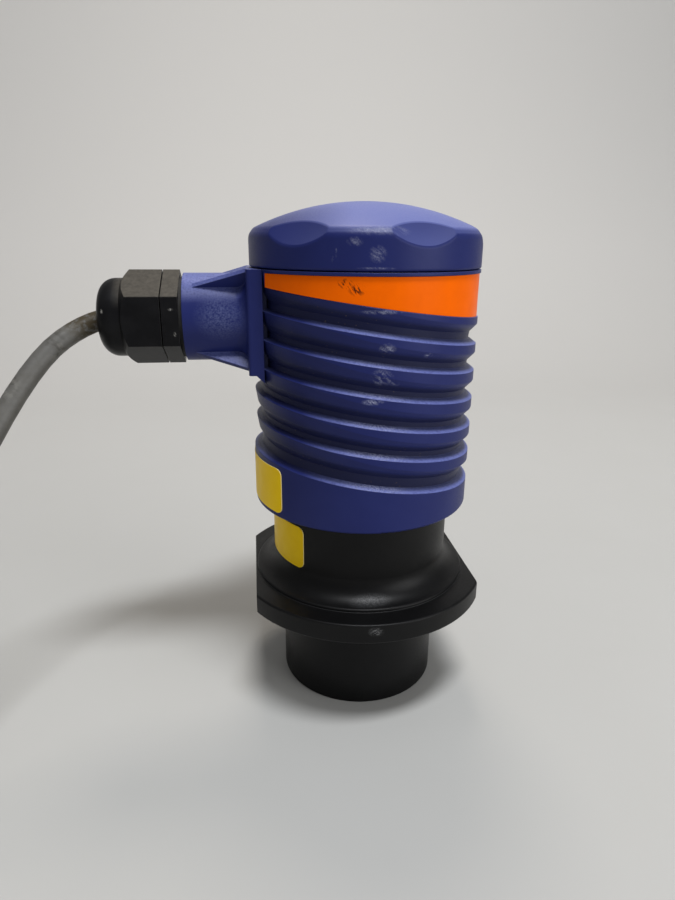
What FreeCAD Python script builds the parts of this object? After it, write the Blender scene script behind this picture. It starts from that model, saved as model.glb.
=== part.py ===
"""Ultrasonic level transmitter, as a parametric document in millimetres.

The origin is the centre of the sensor face, on which the transmitter stands. +Z is up through the
screw cap, and the cable gland points along -X.
"""
import FreeCAD
import Part
import Sketcher
import math
import os
import re
from FreeCAD import Placement, Rotation, Vector

doc = FreeCAD.newDocument("level_transmitter")
dim = doc.addObject("Spreadsheet::Sheet", "dim")

# Driving dimensions: name, value in millimetres or degrees, meaning
SIZES = [
    ("edge_round", 0.6, "small rounding of moulded edges"),
    ("fit_gap", 0.1, "radial gap of pieces that seat in each other"),
    ("run_gap", 0.3, "gap of pieces that turn on each other"),
    # Transducer moulding
    ("foot_radius", 26.5, "sensor spigot"),
    ("foot_length", 34.3, "sensor face to flange seat"),
    ("foot_wall", 2.6, "wall of the sensor spigot"),
    ("face_thickness", 2.5, "sounding face"),
    ("flange_radius", 42.2, "flange"),
    ("flange_thickness", 6.4, "flange"),
    ("flange_flats", 72.4, "across the two wrench flats"),
    ("shoulder_width", 6.3, "neck to the edge of the ring above the flange"),
    ("shoulder_height", 1.0, "flange top to the shoulder's edge"),
    ("shoulder_round", 0.6, "rounding of the shoulder's edge"),
    ("neck_flare", 6.6, "height of the hollow flare from the shoulder's edge to the neck"),
    ("neck_wall", 3.0, "wall of the neck"),
    ("neck_length", 24.9, "shoulder's edge to collar"),
    ("spigot_depth", 12.0, "neck inside the collar"),
    ("seal_rise", 5.0, "collar's lower edge to the neck seal's groove"),
    ("seal_width", 2.4, "groove of a seal ring"),
    ("seal_depth", 1.6, "groove of a seal ring"),
    ("seal_wire", 0.8, "radius of a seal ring's section"),
    # Sensor stack
    ("layer_radius", 21.0, "matching layer"),
    ("layer_thickness", 4.0, "matching layer"),
    ("piezo_radius", 20.0, "piezo disc and backing"),
    ("piezo_thickness", 6.0, "piezo disc"),
    ("backing_height", 13.5, "backing plug"),
    ("potting_height", 12.0, "potting over the backing"),
    ("probe_radius", 1.2, "temperature probe"),
    ("probe_length", 5.5, "temperature probe"),
    ("probe_lead_radius", 0.6, "temperature probe's lead"),
    ("lead_radius", 1.5, "piezo lead"),
    ("lead_x", 8.0, "place of the piezo lead"),
    # Housing moulding
    ("body_radius", 35.0, "collar, ribs and cap"),
    ("collar_wall", 5.6, "collar round the neck's socket"),
    ("chamber_wall", 4.8, "wall round the connection chamber"),
    ("deck_ledge", 2.2, "terminal deck's seat, from the chamber's wall to the bore under it"),
    ("deck_level", 108.0, "sensor face to the terminal deck's seat"),
    ("cap_level", 140.0, "sensor face to the cap's lower edge"),
    ("groove_depth", 2.1, "grooves between ribs"),
    ("groove_ledge", 1.1, "height of a groove's lower side, the ledge on top of a rib"),
    ("groove_rise", 2.9, "height of a groove's upper side, under a rib"),
    ("rib_tilt", 8.5, "slant of the ribs in degrees, up towards the gland"),
    ("ledge_groove", 124.35, "lower edge of the floor of the groove under the band, at the axis"),
    ("ledge_groove_floor", 1.95, "flat floor of that groove"),
    ("rib_groove", 116.2, "lower edge of the floor of the first groove between ribs, at the axis"),
    ("rib_groove_floor", 1.5, "flat floor of the grooves between ribs"),
    ("rib_pitch", 8.6, "from rib to rib"),
    ("rib_round", 0.4, "a groove's upper side steepens this far inside the ribs' faces, to ease the edge"),
    ("collar_groove", 80.8, "lower edge of the floor of the groove above the collar, at the axis"),
    ("collar_groove_floor", 2.8, "flat floor of that groove"),
    ("column_radius", 4.2, "screw columns under the deck"),
    ("column_inset", 5.2, "chamber's wall to the middle of the screw columns"),
    ("column_height", 14.0, "screw columns under the deck"),
    # Orange band
    ("band_tilt", 7.8, "slant of the band's lower edge in degrees"),
    ("band_level", 130.6, "band's lower edge at the axis"),
    ("band_recess", 1.0, "depth of the band's seat"),
    ("band_thickness", 0.6, "band"),
    ("rim_height", 0.9, "housing rim above the band"),
    ("band_end_gap", 0.9, "from the entry plate to the band's ends"),
    # Cable entry
    ("gland_level", 125.2, "sensor face to the gland's axis"),
    ("plate_reach", 1.0, "collar's side to the entry plate's face"),
    ("plate_rise", 14.5, "gland's axis up to the entry plate's top"),
    ("plate_drop", 15.5, "gland's axis down to the entry plate's lower edge"),
    ("plate_width", 30.0, "entry plate"),
    ("plate_cheek", 2.0, "entry plate is narrower by this on each side where the grooves meet it"),
    ("plate_round", 1.0, "rounding of the plate's upright edges"),
    ("plate_chamfer", 2.2, "slope under the plate starts this far from its face"),
    ("boss_radius", 12.9, "entry boss"),
    ("boss_reach", 18.3, "entry plate's face to the boss's end"),
    ("boss_flare", 3.2, "hollow rounding from boss to plate"),
    ("web_lean", 41.0, "webs from upright, in degrees"),
    ("web_reach", 18.7, "webs from the gland's axis at the plate"),
    ("web_tip", 15.3, "entry plate's face to the webs' tips"),
    ("web_thickness", 1.5, "webs"),
    ("thread_radius", 10.0, "entry thread's bore"),
    ("thread_length", 10.0, "entry thread"),
    ("entry_radius", 7.0, "way from the thread to the chamber"),
    # Screw cap
    ("cap_height", 18.5, "lower edge to crown"),
    ("cap_wall", 3.0, "crown"),
    ("cap_slope_width", 1.4, "cap's sloped shoulder, straight across"),
    ("cap_slope_height", 1.9, "cap's sloped shoulder"),
    ("cap_round", 2.6, "rounding of the shoulder's two edges"),
    ("dome_radius", 77.0, "curve of the crown"),
    ("cap_spigot", 7.5, "threaded spigot under the cap's edge"),
    ("cap_spigot_wall", 2.5, "threaded spigot"),
    ("cap_seal_rise", 1.0, "cap's edge down to its seal groove"),
    ("scoop_count", 6, "finger scoops"),
    ("scoop_radius", 60.0, "hollow of a finger scoop"),
    ("scoop_round", 1.2, "rounding of a scoop's rim"),
    ("scoop_depth", 7.13, "depth of a scoop, from where crown and side would meet"),
    ("scoop_rise", 29.1, "slope of a scoop, its centre above that corner in degrees"),
    ("scoop_turn", 48.0, "direction of the first scoop, in degrees"),
    # Labels
    ("label_thickness", 0.2, "labels"),
    ("label_round", 2.2, "label corners"),
    ("collar_label_width", 32.0, "collar label, straight across"),
    ("collar_label_height", 14.4, "collar label"),
    ("collar_label_level", 68.2, "sensor face to the collar label's lower edge"),
    ("collar_label_turn", -79.0, "direction of the collar label from the front, in degrees"),
    ("neck_label_width", 25.0, "neck label, straight across"),
    ("neck_label_height", 14.2, "neck label"),
    ("neck_label_level", 48.4, "sensor face to the neck label's lower edge"),
    ("neck_label_turn", -71.0, "direction of the neck label from the front, in degrees"),
    # Cable gland, measured outwards along its axis
    ("hex_flats", 24.0, "across flats of lock hexagon and dome nut"),
    ("hex_corner", 13.8, "radius of the worn hexagon corners"),
    ("washer_thickness", 1.0, "sealing washer"),
    ("washer_radius", 11.8, "sealing washer"),
    ("lock_length", 4.8, "lock hexagon"),
    ("stem_length", 8.4, "threaded stem under the dome nut"),
    ("stem_radius", 9.5, "threaded stem"),
    ("stem_bore", 8.2, "seat of the rubber seal"),
    ("gland_bore", 5.5, "gland body's bore"),
    ("seat_depth", 1.6, "seal's seat inside the lock hexagon"),
    ("nut_hex_length", 9.4, "dome nut's hexagon"),
    ("nut_chamfer", 2.0, "from hexagon to dome"),
    ("nut_dome_radius", 11.4, "dome"),
    ("nut_dome_length", 7.1, "dome"),
    ("nut_dome_round", 5.0, "rounding of the dome's end"),
    ("nut_mouth", 6.3, "cable mouth of the dome nut"),
    ("nut_cone", 6.0, "cone inside the dome"),
    # Cable
    ("cable_radius", 3.0, "sheath"),
    ("sheath_inside", 24.0, "axis to the sheath's end in the chamber"),
    ("cable_start", 57.4, "axis to where the free cable begins in the gland"),
    ("core_radius", 0.9, "insulated core"),
    ("core_spread", 1.4, "cores from the cable's axis"),
    ("core_straight", 4.5, "straight ends of the cores in the chamber"),
    ("coil_x", -184.0, "centre of the coil"),
    ("coil_y", 0.0, "centre of the coil"),
    ("coil_middle", 36.0, "radius at the middle of the turns"),
    ("coil_width", 24.0, "turns side by side"),
    ("coil_height", 18.0, "turns on each other"),
    ("coil_round", 3.0, "rounding of the coil's section"),
    ("tie_thickness", 1.2, "cable tie"),
    ("tie_width", 5.0, "cable tie"),
    ("tail_end", 29.0, "level along Y of the sheath's far end"),
    ("far_core_length", 13.5, "stripped cores at the far end"),
    ("far_core_turn", 6.0, "cores spread at the far end"),
    ("ferrule_radius", 0.75, "ferrules"),
    ("ferrule_length", 8.0, "ferrules"),
    # Connection chamber
    ("deck_thickness", 3.0, "terminal deck"),
    ("screw_radius", 1.45, "deck screws"),
    ("screw_length", 10.0, "deck screws in their columns"),
    ("screw_head_radius", 2.8, "deck screw heads"),
    ("screw_head_height", 2.0, "deck screw heads"),
    ("block_x", -3.0, "middle of the terminal block"),
    ("block_depth", 12.0, "terminal block along X"),
    ("block_height", 11.0, "terminal block"),
    ("pole_pitch", 7.0, "terminal poles"),
    ("pole_count", 3, "terminal poles"),
    ("clamp_radius", 2.0, "terminal screws"),
    ("clamp_height", 3.2, "terminal screws"),
    ("clamp_sink", 0.4, "terminal screws under the block's top"),
    ("wire_hole_rise", 4.5, "wire holes above the deck"),
    ("wire_hole_depth", 4.0, "wire holes"),
    ("slot_width", 0.8, "screwdriver slots"),
    ("slot_depth", 0.9, "screwdriver slots"),
    # Electronics
    ("board_width", 44.0, "circuit board"),
    ("board_height", 24.0, "circuit board"),
    ("board_thickness", 1.6, "circuit board"),
    ("lug_length", 6.0, "lugs that hold the board under the deck"),
    ("lug_height", 5.0, "lugs"),
    ("lug_thickness", 2.2, "lugs"),
    ("lug_offset", 12.0, "axis to the lugs"),
    ("transformer_size", 12.0, "pulse transformer"),
    ("transformer_depth", 10.0, "pulse transformer"),
    ("transformer_x", -8.0, "middle of the pulse transformer"),
    ("capacitor_radius", 4.0, "capacitors"),
    ("capacitor_length", 10.5, "capacitors"),
    ("capacitor_pitch", 10.0, "capacitors"),
    ("capacitor_x", 5.0, "first capacitor"),
    ("chip_size", 10.0, "controller chip"),
    ("chip_thickness", 1.4, "controller chip"),
    ("part_drop", 12.0, "deck seat down to the middle of the board's parts"),
    ("connector_width", 6.0, "board connector"),
    ("connector_height", 6.0, "board connector"),
]

for row, (alias, value, meaning) in enumerate(SIZES, start=1):
    dim.set("A%d" % row, meaning)
    dim.set("B%d" % row, str(value))
    dim.setAlias("B%d" % row, alias)
doc.recompute()
ALIASES = {alias for alias, value, meaning in SIZES}

# Radii, levels and reaches that follow from the driving dimensions
NECK = "(body_radius - collar_wall - fit_gap)"
NECK_BORE = "(body_radius - collar_wall - fit_gap - neck_wall)"
SHOULDER = "(%s + shoulder_width)" % NECK
CHAMBER = "(body_radius - chamber_wall)"
GROOVE_FLOOR = "(body_radius - groove_depth)"
COLUMN = "(%s - column_inset)" % CHAMBER
PLATE_FACE = "(body_radius + plate_reach)"
BOSS_END = "(body_radius + plate_reach + boss_reach)"
FLANGE_TOP = "(foot_length + flange_thickness)"
SHOULDER_TOP = "(foot_length + flange_thickness + shoulder_height)"
FLARE_RADIUS = "((neck_flare ^ 2 + shoulder_width ^ 2) / (2 * shoulder_width))"
COLLAR = "(foot_length + flange_thickness + shoulder_height + neck_length)"
SPIGOT_TOP = "(%s + spigot_depth)" % COLLAR
NECK_SEAL = "(%s + seal_rise)" % COLLAR
FOOT_BORE = "(foot_radius - foot_wall)"
LAYER_TOP = "(face_thickness + layer_thickness)"
PIEZO_TOP = "(face_thickness + layer_thickness + piezo_thickness)"
BACKING_TOP = "(%s + backing_height)" % PIEZO_TOP
POTTING_TOP = "(%s + potting_height)" % BACKING_TOP
PROBE_X = "(min(%s; %s) - probe_radius - run_gap)" % (FOOT_BORE, NECK_BORE)
RIM_TOP = "(cap_level - run_gap)"
CAP_TOP = "(cap_level + cap_height)"
CAP_SPIGOT = "(%s - run_gap)" % CHAMBER
DECK_TOP = "(deck_level + deck_thickness)"
BOARD_BOTTOM = "(deck_level - board_height)"
BOARD_FACE = "(board_thickness / 2)"
PARTS_LEVEL = "(deck_level - part_drop)"
LOCK_START = "(%s + washer_thickness)" % BOSS_END
LOCK_END = "(%s + lock_length)" % LOCK_START
STEM_END = "(%s + stem_length)" % LOCK_END
NUT_START = "(%s + run_gap)" % LOCK_END
NUT_SHOULDER = "(%s + nut_hex_length)" % NUT_START
DOME_START = "(%s + nut_chamfer)" % NUT_SHOULDER
DOME_END = "(%s + nut_dome_length)" % DOME_START
PLATE_ROOT = "(%s + fit_gap)" % CHAMBER

# Lengths closer than this are the same
NEAR = 1e-5
# Share of the shorter run that a bend of a tube takes up
BEND_SHARE = 0.45

pieces = []


def bound(expression):
    """Expression with the sheet's name before each of its aliases."""
    def prefix(word):
        return "dim." + word.group() if word.group() in ALIASES else word.group()
    return re.sub(r"[a-z_]+", prefix, str(expression))


def number(expression):
    """Value of an expression of sheet aliases."""
    return float(dim.evalExpression(bound(expression)))


def tie(item, path, expression):
    """Bind a property to the sheet."""
    item.setExpression(path, bound(expression))


def piece(item, label):
    """Name a finished sub-part, which also names its file."""
    item.Label = label
    pieces.append(item)
    return item


# Sketches and features


def pin(sketch, curve, end, axis, expression):
    """Hold one coordinate of a sketch point at its value."""
    value = number(expression)
    if abs(value) < NEAR:
        sketch.addConstraint(Sketcher.Constraint("PointOnObject", curve, end, -2 if axis == "X" else -1))
        return
    ends = (-1, 1, curve, end) if value > 0 else (curve, end, -1, 1)
    index = sketch.addConstraint(Sketcher.Constraint("Distance" + axis, *ends, abs(value)))
    sign = "" if value > 0 else "-"
    tie(sketch, "Constraints[%d]" % index, "%s(%s)" % (sign, expression))


def arc_between(start, end, radius):
    """Arc from start to end, with its centre on the left for a positive radius."""
    chord = end - start
    left = Vector(-chord.y, chord.x, 0).normalize()
    offset = math.sqrt(radius * radius - chord.Length ** 2 / 4)
    centre = (start + end) / 2 + left * math.copysign(offset, radius)
    first, last = (start, end) if radius > 0 else (end, start)
    angles = [math.atan2(p.y - centre.y, p.x - centre.x) for p in (first, last)]
    return Part.ArcOfCircle(Part.Circle(centre, Vector(0, 0, 1), abs(radius)), *angles)


def draw(sketch, corners):
    """Closed outline through corners (x, y); a third value is the radius of the edge that ends there."""
    points = [Vector(number(corner[0]), number(corner[1]), 0) for corner in corners]
    edges = []
    for index, start in enumerate(points):
        following = (index + 1) % len(points)
        curve = corners[following][2:]
        if curve:
            radius = number(curve[0])
            edge = sketch.addGeometry(arc_between(start, points[following], radius), False)
            size = sketch.addConstraint(Sketcher.Constraint("Radius", edge, abs(radius)))
            tie(sketch, "Constraints[%d]" % size, "abs(%s)" % curve[0])
            edges.append((edge, 1, 2) if radius > 0 else (edge, 2, 1))
        else:
            edge = sketch.addGeometry(Part.LineSegment(start, points[following]), False)
            edges.append((edge, 1, 2))
    for index, (edge, start, end) in enumerate(edges):
        after, after_start, after_end = edges[(index + 1) % len(edges)]
        sketch.addConstraint(Sketcher.Constraint("Coincident", edge, end, after, after_start))
        pin(sketch, edge, start, "X", corners[index][0])
        pin(sketch, edge, start, "Y", corners[index][1])


def ring(sketch, x, y, radius):
    """Circle of a sketch."""
    centre = Vector(number(x), number(y), 0)
    curve = sketch.addGeometry(Part.Circle(centre, Vector(0, 0, 1), number(radius)), False)
    size = sketch.addConstraint(Sketcher.Constraint("Radius", curve, number(radius)))
    tie(sketch, "Constraints[%d]" % size, radius)
    pin(sketch, curve, 3, "X", x)
    pin(sketch, curve, 3, "Y", y)


def sketch_on(body, role, name, shift=(0, 0, 0), axis=(0, 0, 1), angle=0):
    """Sketch on one of the body's own planes, shifted and turned in that plane's frame."""
    sketch = body.newObject("Sketcher::SketchObject", name)
    plane = next(item for item in body.Origin.OriginFeatures if item.Role == role)
    sketch.AttachmentSupport = [(plane, "")]
    sketch.MapMode = "FlatFace"
    base = Vector(*[number(step) for step in shift])
    sketch.AttachmentOffset = Placement(base, Rotation(Vector(*axis), number(angle)))
    for letter, step in zip("xyz", shift):
        if step != 0:
            tie(sketch, "AttachmentOffset.Base." + letter, step)
    if angle != 0:
        tie(sketch, "AttachmentOffset.Rotation.Angle", angle)
    return sketch


def feature(body, kind, sketch, name, **settings):
    """Pad, Pocket, Revolution or Groove of a sketch."""
    item = body.newObject("PartDesign::" + kind, name)
    item.Profile = sketch
    if kind in ("Revolution", "Groove"):
        item.ReferenceAxis = (sketch, [settings.pop("about", "V_Axis")])
        item.Angle = 360
    if "length" in settings:
        tie(item, "Length", settings.pop("length"))
    for name, value in settings.items():
        setattr(item, name, value)
    doc.recompute()
    return item


def new_body(name):
    return doc.addObject("PartDesign::Body", name)


def turned(name, corners):
    """Body turned about its own Z axis from an outline of (radius, height) corners."""
    body = new_body(name)
    sketch = sketch_on(body, "XZ_Plane", name + "_section")
    draw(sketch, corners)
    feature(body, "Revolution", sketch, name + "_turned")
    return body


def round_edges(body, name, radius, wanted):
    """Round the edges of a body's last feature that pass the test."""
    base = body.Tip
    edges = ["Edge%d" % index for index, edge in enumerate(base.Shape.Edges, start=1)
             if not edge.Degenerated and wanted(edge)]
    if not edges:
        raise RuntimeError("no edges for " + name)
    item = body.newObject("PartDesign::Fillet", name)
    item.Base = (base, edges)
    tie(item, "Radius", radius)
    doc.recompute()


def round_rings(body, name, radius, rings):
    """Round the circular edges that lie at the given (radius, height) pairs."""
    places = [(number(r), number(z)) for r, z in rings]

    def wanted(edge):
        if not isinstance(edge.Curve, Part.Circle):
            return False
        here = (edge.Curve.Radius, edge.Curve.Center.z)
        return any(math.dist(here, there) < NEAR for there in places)
    round_edges(body, name, radius, wanted)


def along_gland(body):
    """Stand a body on the gland's axis: its own Z points out of the gland and its X up."""
    body.Placement = Placement(Vector(0, 0, number("gland_level")), Rotation(Vector(0, 1, 0), -90))
    tie(body, "Placement.Base.z", "gland_level")


def cut_hexagon(body, name, start, end):
    """Mill six flats on a body between two heights."""
    sketch = sketch_on(body, "XY_Plane", name, shift=(0, 0, start))
    corner = "hex_flats / sqrt(3)"
    draw(sketch, [("%s * cos(%d)" % (corner, turn), "%s * sin(%d)" % (corner, turn))
                  for turn in range(0, 360, 60)])
    ring(sketch, 0, 0, "hex_flats")
    before = body.Shape.Volume
    feature(body, "Pocket", sketch, name + "_cut", length="%s - %s" % (end, start), Reversed=True)
    if not body.Shape.Volume < before:
        raise RuntimeError("flats not cut on " + body.Name)


def box(name, size, corner):
    item = doc.addObject("Part::Box", name)
    for side, expression in zip(("Length", "Width", "Height"), size):
        tie(item, side, expression)
    place(item, corner)
    return item


def rod(name, radius, height, base):
    item = doc.addObject("Part::Cylinder", name)
    tie(item, "Radius", radius)
    tie(item, "Height", height)
    place(item, base)
    return item


def place(item, base):
    for letter, expression in zip("xyz", base):
        tie(item, "Placement.Base." + letter, expression)


def cut(name, base, tools):
    """Base without its tools."""
    item = base
    for index, tool in enumerate(tools):
        result = doc.addObject("Part::Cut", "%s_%d" % (name, index))
        result.Base = item
        result.Tool = tool
        item = result
    return item


def group(name, items):
    """Like pieces that share one node."""
    item = doc.addObject("Part::Compound", name)
    item.Links = items
    return item


def seal_ring(name, centre_radius, level):
    item = doc.addObject("Part::Torus", name)
    tie(item, "Radius1", centre_radius)
    tie(item, "Radius2", "seal_wire")
    tie(item, "Placement.Base.z", level)
    return item


def tube(name, points, radius):
    """Round tube along straight runs joined by tangent arcs, as large as the runs allow."""
    runs = [after - before for before, after in zip(points, points[1:])]
    edges = []
    last = points[0]
    radii = []
    for corner, inward, outward in zip(points[1:], runs, runs[1:]):
        reach = BEND_SHARE * min(inward.Length, outward.Length)
        go_in = Vector(inward).normalize()
        go_out = Vector(outward).normalize()
        half_turn = go_in.getAngle(go_out) / 2
        bend = reach / math.tan(half_turn)
        towards = (go_out - go_in).normalize()
        middle = corner + towards * (bend / math.cos(half_turn) - bend)
        start = corner - go_in * reach
        end = corner + go_out * reach
        edges.append(Part.LineSegment(last, start).toShape())
        edges.append(Part.Arc(start, middle, end).toShape())
        radii.append(round(bend, 1))
        last = end
    edges.append(Part.LineSegment(last, points[-1]).toShape())
    path = Part.Wire(edges)
    section = Part.Wire(Part.Circle(points[0], runs[0], radius).toShape())
    solid = path.makePipeShell([section], True, True)
    expected = math.pi * radius ** 2 * path.Length
    print(name, "bend radii", radii, "length %.1f" % path.Length)
    print(name, "volume over section times length %.4f" % (solid.Volume / expected))
    item = doc.addObject("Part::Feature", name)
    item.Shape = solid
    return item


# Transducer moulding


def make_transducer():
    seal_top = NECK_SEAL + " + seal_width"
    groove = NECK + " - seal_depth"
    body = turned("transducer_moulding", [
        (0, 0), ("foot_radius", 0), ("foot_radius", "foot_length"), ("flange_radius", "foot_length"),
        ("flange_radius", FLANGE_TOP), (SHOULDER, FLANGE_TOP), (SHOULDER, SHOULDER_TOP),
        (NECK, SHOULDER_TOP + " + neck_flare", "-" + FLARE_RADIUS), (NECK, NECK_SEAL),
        (groove, NECK_SEAL), (groove, seal_top), (NECK, seal_top), (NECK, SPIGOT_TOP),
        (NECK_BORE, SPIGOT_TOP), (NECK_BORE, FLANGE_TOP), (FOOT_BORE, FLANGE_TOP),
        (FOOT_BORE, "face_thickness"), (0, "face_thickness")])
    sketch = sketch_on(body, "XY_Plane", "wrench_flats", shift=(0, 0, "foot_length"))
    for side in ("", "-"):
        near = side + "flange_flats / 2"
        far = side + "flange_flats"
        draw(sketch, [(near, "-flange_radius"), (far, "-flange_radius"), (far, "flange_radius"),
                      (near, "flange_radius")])
    before = body.Shape.Volume
    feature(body, "Pocket", sketch, "wrench_flats_cut", length="flange_thickness", Reversed=True)
    if not body.Shape.Volume < before:
        raise RuntimeError("the wrench flats cut nothing")
    round_rings(body, "shoulder_edge", "shoulder_round", [(SHOULDER, SHOULDER_TOP)])
    round_rings(body, "moulded_edges", "edge_round", [
        ("foot_radius", 0), ("flange_radius", "foot_length"), ("flange_radius", FLANGE_TOP)])
    piece(body, "transducer_body")
    piece(seal_ring("neck_seal", groove + " + seal_wire", NECK_SEAL + " + seal_width / 2"),
          "neck_oring")


# Sensor stack inside the foot


def make_sensor():
    layer = rod("layer", "layer_radius", "layer_thickness", (0, 0, "face_thickness"))
    probe_way = rod("probe_way", "probe_radius + fit_gap", LAYER_TOP, (PROBE_X, 0, 0))
    piece(cut("layer_cleared", layer, [probe_way]), "matching_layer")
    piece(rod("piezo", "piezo_radius", "piezo_thickness", (0, 0, LAYER_TOP)), "piezo_disc")
    lead_y = "board_thickness / 2 + connector_width / 2"
    lead_hole = rod("lead_hole", "lead_radius + fit_gap", POTTING_TOP, ("lead_x", lead_y, 0))
    probe_hole = rod("probe_hole", "probe_lead_radius + fit_gap", POTTING_TOP, (PROBE_X, 0, 0))
    backing = rod("backing", "piezo_radius", "backing_height", (0, 0, PIEZO_TOP))
    piece(cut("backing_bored", backing, [lead_hole]), "backing_plug")
    compound = rod("compound", FOOT_BORE, "potting_height", (0, 0, BACKING_TOP))
    piece(cut("compound_bored", compound, [lead_hole, probe_hole]), "potting")
    lead_reach = "%s - %s" % (BOARD_BOTTOM, PIEZO_TOP)
    piece(rod("lead", "lead_radius", lead_reach, ("lead_x", lead_y, PIEZO_TOP)), "transducer_lead")
    piece(rod("probe", "probe_radius", "probe_length", (PROBE_X, 0, "face_thickness")), "temperature_probe")
    probe_top = "(face_thickness + probe_length)"
    probe_reach = "%s - %s" % (BOARD_BOTTOM, probe_top)
    piece(rod("probe_wire", "probe_lead_radius", probe_reach, (PROBE_X, 0, probe_top)), "probe_lead")


# Housing moulding


def cut_rib_grooves(body):
    """Slanted grooves, each turned about a leaning axis: a ledge below, a steep side that eases out above."""
    grooves = [("ledge_groove", "ledge_groove_floor")]
    grooves += [("(rib_groove - %d * rib_pitch)" % index, "rib_groove_floor") for index in range(4)]
    grooves += [("collar_groove", "collar_groove_floor")]
    edge = "(body_radius - rib_round)"
    outside = "(body_radius + groove_depth)"
    knee = "groove_rise * (groove_depth - rib_round) / groove_depth"
    run_out = "(groove_depth + rib_round) / tan(atan(groove_depth / groove_rise) / 2)"
    for index, (level, floor) in enumerate(grooves):
        name = "rib_groove_%d" % index
        sketch = sketch_on(body, "XZ_Plane", name, shift=(0, level, 0), axis=(0, 0, -1), angle="rib_tilt")
        side = "(%s + %s)" % (floor, knee)
        draw(sketch, [(GROOVE_FLOOR, 0), (outside, "-2 * groove_ledge"),
                      (outside, "%s + %s" % (side, run_out)), (edge, side), (GROOVE_FLOOR, floor)])
        before = body.Shape.Volume
        feature(body, "Groove", sketch, name + "_cut")
        if not body.Shape.Volume < before:
            raise RuntimeError(name + " cuts nothing")


def add_cable_entry(body):
    """Plate, boss and diagonal webs on the gland side, and the way through them."""
    plate_bottom = "(gland_level - plate_drop)"
    plate_top = "(gland_level + plate_rise)"
    slope_start = "(%s - plate_chamfer)" % PLATE_FACE
    cheek_end = "(sqrt(body_radius ^ 2 - (plate_width / 2) ^ 2) - fit_gap)"
    sketch = sketch_on(body, "XZ_Plane", "entry_plate_root")
    draw(sketch, [
        ("-" + slope_start, plate_bottom),
        ("-" + PLATE_ROOT, "%s - (%s - %s)" % (plate_bottom, slope_start, PLATE_ROOT)),
        ("-" + PLATE_ROOT, plate_top), ("-" + slope_start, plate_top)])
    feature(body, "Pad", sketch, "entry_plate_root_pad", length="plate_width - 2 * plate_cheek",
            SideType="Symmetric")
    sketch = sketch_on(body, "XZ_Plane", "entry_plate")
    draw(sketch, [
        ("-" + PLATE_FACE, plate_bottom), ("-" + slope_start, plate_bottom),
        ("-" + cheek_end, "%s - (%s - %s)" % (plate_bottom, slope_start, cheek_end)),
        ("-" + cheek_end, plate_top), ("-" + PLATE_FACE, plate_top)])
    feature(body, "Pad", sketch, "entry_plate_pad", length="plate_width", SideType="Symmetric")
    face_x = -number(PLATE_FACE)

    def on_plate_face(edge):
        return all(abs(vertex.X - face_x) < NEAR for vertex in edge.Vertexes)

    def plate_corner(edge):
        return on_plate_face(edge) and abs(edge.tangentAt(edge.FirstParameter).z) > 0.99
    round_edges(body, "plate_edges", "plate_round", plate_corner)

    sketch = sketch_on(body, "YZ_Plane", "entry_boss", shift=(0, 0, "-" + BOSS_END))
    ring(sketch, 0, "gland_level", "boss_radius")
    feature(body, "Pad", sketch, "entry_boss_pad", length="%s - %s" % (BOSS_END, PLATE_ROOT))

    def boss_foot(edge):
        return on_plate_face(edge) and isinstance(edge.Curve, Part.Circle)
    round_edges(body, "boss_foot", "boss_flare", boss_foot)

    buried = "-" + slope_start
    face = "-" + PLATE_FACE
    tip = "-(%s + web_tip)" % PLATE_FACE
    for name, lean in (("rising_web", "web_lean"), ("falling_web", "-web_lean")):
        sketch = sketch_on(body, "XZ_Plane", name, shift=(0, "gland_level", 0), axis=(1, 0, 0), angle=lean)
        draw(sketch, [(buried, "-web_reach"), (buried, "web_reach"), (face, "web_reach"),
                      (tip, "boss_radius"), (tip, "-boss_radius"), (face, "-web_reach")])
        feature(body, "Pad", sketch, name + "_pad", length="web_thickness", SideType="Symmetric")

    sketch = sketch_on(body, "XZ_Plane", "entry_bore", shift=(0, "gland_level", 0))
    mouth = "-" + LOCK_START
    thread_end = "-(%s - thread_length)" % BOSS_END
    chamber = "-(%s / 2)" % CHAMBER
    draw(sketch, [(mouth, 0), (chamber, 0), (chamber, "entry_radius"), (thread_end, "entry_radius"),
                  (thread_end, "thread_radius"), (mouth, "thread_radius")])
    before = body.Shape.Volume
    feature(body, "Groove", sketch, "entry_bore_cut", about="H_Axis")
    if not body.Shape.Volume < before:
        raise RuntimeError("entry bore cuts nothing")


def band_blank(name, radii, levels, end_gap):
    """Ring under the cap with a slanted lower edge, open at the entry plate."""
    body = new_body(name)
    inner, outer = radii
    level, top = levels
    low = "(%s - 2 * body_radius * tan(band_tilt))" % level
    sketch = sketch_on(body, "XZ_Plane", name + "_section")
    draw(sketch, [(inner, low), (outer, low), (outer, top), (inner, top)])
    feature(body, "Revolution", sketch, name + "_turned")
    wide = "2 * body_radius"
    drop = "2 * body_radius * tan(band_tilt)"
    sketch = sketch_on(body, "XZ_Plane", name + "_slant")
    draw(sketch, [("-" + wide, "%s + %s" % (level, drop)), ("-" + wide, low + " - body_radius"),
                  (wide, low + " - body_radius"), (wide, "%s - %s" % (level, drop))])
    feature(body, "Pocket", sketch, name + "_slant_cut", Type="ThroughAll", SideType="Symmetric")
    sketch = sketch_on(body, "XY_Plane", name + "_window")
    half = "(plate_width / 2 + %s)" % end_gap
    draw(sketch, [("-" + wide, "-" + half), (0, "-" + half), (0, half), ("-" + wide, half)])
    feature(body, "Pocket", sketch, name + "_window_cut", Type="ThroughAll", SideType="Symmetric")
    return body


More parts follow.
